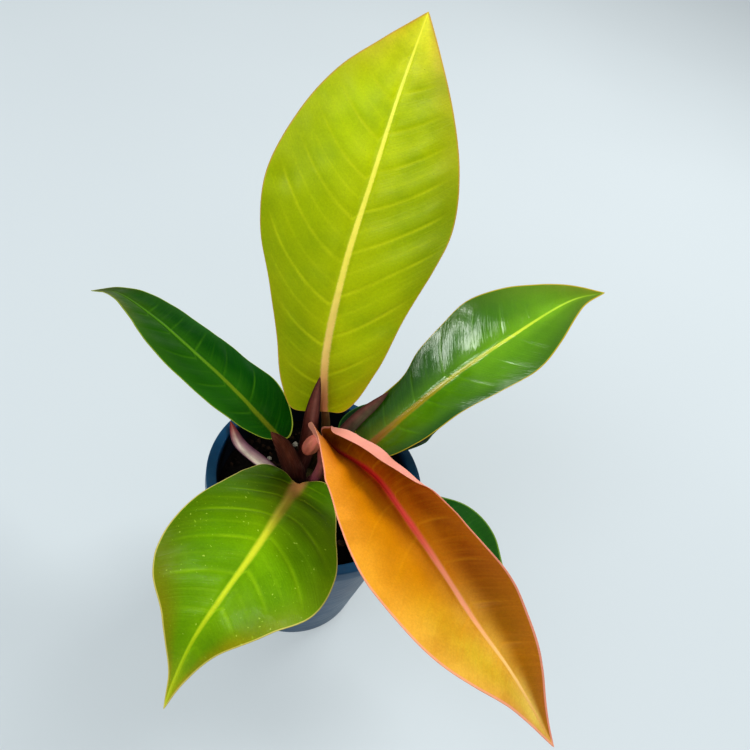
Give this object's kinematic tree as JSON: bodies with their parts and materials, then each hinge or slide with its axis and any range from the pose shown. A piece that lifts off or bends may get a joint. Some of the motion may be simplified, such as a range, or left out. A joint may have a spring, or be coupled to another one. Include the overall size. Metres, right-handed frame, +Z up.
{
  "type": "potted philodendron",
  "caption": "Small philodendron in a round nursery pot of soil: broad pointed leaves in green, lime and orange arch out from a short stem wrapped in papery sheaths.",
  "frame": {"origin": "centre of the pot's flat underside, where it stands on the table", "axes": "+Z up, along the pot's axis; -Y is towards the viewer, where the front leaf hangs over the rim; +X is to the viewer's right"},
  "size_m": [0.288, 0.2612, 0.316],
  "materials": {
    "pot_plastic": "satin dark blue-green moulded plastic",
    "soil": "damp dark peat and bark mix, rough",
    "stem": "ringed brownish green stem",
    "leaf_top": "yellow-lime leaf, pale yellow midrib, thin pink edge",
    "leaf_left": "dark green waxy leaf, olive-yellow midrib, thin yellow edge",
    "leaf_right": "bright green glossy leaf, yellow midrib, yellow-orange edge",
    "leaf_front": "yellow-green leaf, bright yellow midrib and veins, orange edge",
    "leaf_orange": "newest leaf, golden orange, crimson to pink midrib, salmon underside",
    "leaf_low_front": "plain green waxy leaf",
    "leaf_low_back": "dark green waxy leaf",
    "sheath_centre": "dry reddish brown sheath",
    "sheath_right": "pinkish brown sheath, grey-green foot",
    "sheath_left": "dark brown-red sheath",
    "sheath_pale": "papery whitish sheath with purple edges",
    "perlite": "chalky white perlite grain",
    "bark": "rough bark chip"
  },
  "bodies": {
    "root": {"pot": "pot_plastic", "soil": "soil", "stem": "stem", "leaf_top": "leaf_top", "leaf_left": "leaf_left", "leaf_right": "leaf_right", "leaf_front": "leaf_front", "leaf_orange": "leaf_orange", "leaf_low_front": "leaf_low_front", "leaf_low_back": "leaf_low_back", "sheath_centre": "sheath_centre", "sheath_right": "sheath_right", "sheath_left": "sheath_left", "sheath_pale": "sheath_pale", "perlite_1": "perlite", "perlite_2": "perlite", "perlite_3": "perlite", "perlite_4": "perlite", "bark_1": "bark", "bark_2": "bark"}
  },
  "joints": []
}
